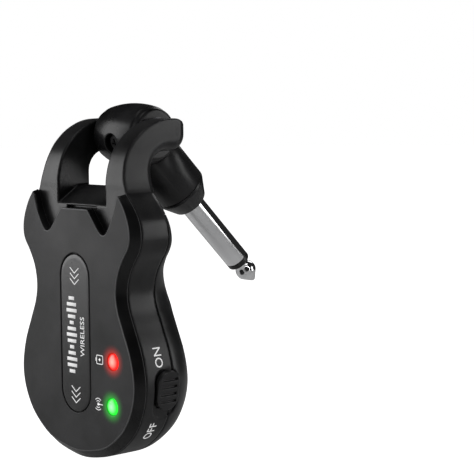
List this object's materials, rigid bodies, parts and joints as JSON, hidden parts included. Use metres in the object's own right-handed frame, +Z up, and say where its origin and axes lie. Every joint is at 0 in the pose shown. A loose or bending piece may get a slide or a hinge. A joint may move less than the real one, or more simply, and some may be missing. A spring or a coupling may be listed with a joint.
{
  "type": "wireless guitar transmitter",
  "caption": "Plug-in wireless guitar transmitter: a waisted pocket-size body with a forked neck that carries a swivelling quarter-inch plug.",
  "frame": {"origin": "middle of the plug's seating shoulder, on the plug's axis", "axes": "+Z up along the body towards the fork, +X across the body to its switch side, -Y out of the face and +Y towards the back"},
  "size_m": [0.0503, 0.0619, 0.0878],
  "materials": {
    "casing": "satin black moulded plastic",
    "face": "matt dark grey moulded plastic",
    "inlay": "glossy black printed inlay",
    "red_lens": "clear red light pipe",
    "green_lens": "clear green light pipe",
    "led_body": "white light-emitting diode package",
    "board": "green solder mask on glass-epoxy laminate",
    "steel": "plain nickel-plated steel",
    "gold": "plated brass",
    "ivory": "natural nylon",
    "red_wire": "red wire insulation",
    "black_wire": "black wire insulation",
    "foil": "aluminium laminate pouch",
    "foam": "closed-cell foam",
    "black_resin": "black insulating resin",
    "chrome": "polished nickel plate"
  },
  "bodies": {
    "plug": {"plug_hub": "casing", "hub_screw": "steel", "left_trunnion": "steel", "right_trunnion": "steel", "left_friction_washer": "steel", "right_friction_washer": "steel", "plug_housing": "casing", "cone_collar": "casing", "plug_sleeve": "chrome", "sleeve_nut": "steel", "ground_tag": "gold", "insulator": "black_resin", "centre_rod": "gold", "plug_tip": "chrome"},
    "casing": {"front_cover": "face", "main_shell": "casing", "back_cover": "casing", "name_plate": "inlay", "battery_led_lens": "red_lens", "signal_led_lens": "green_lens", "battery_led_chip": "led_body", "signal_led_chip": "led_body", "circuit_board": "board", "radio_shield": "steel", "antenna_strip": "gold", "battery_socket": "ivory", "battery_lead_red": "red_wire", "battery_lead_black": "black_wire", "battery_cell": "foil", "battery_pad": "foam", "charge_port_shell": "steel", "charge_port_tongue": "black_resin", "slide_switch_body": "steel", "audio_lead": "black_wire", "board_screw_1": "steel", "board_screw_2": "steel", "board_screw_3": "steel", "board_screw_4": "steel"},
    "power_switch": {"switch_knob": "casing", "switch_lever": "black_resin"}
  },
  "joints": [
    {"name": "plug_swivel", "type": "hinge", "parent": "plug", "child": "casing", "pos_m": [0, -0.01832, 0.01788], "axis": [1, 0, 0], "range_deg": [-182, 38]},
    {"name": "switch_slide", "type": "slide", "parent": "casing", "child": "power_switch", "axis": [-0.1478, 0, -0.989], "range_m": [0, 0.002]}
  ]
}
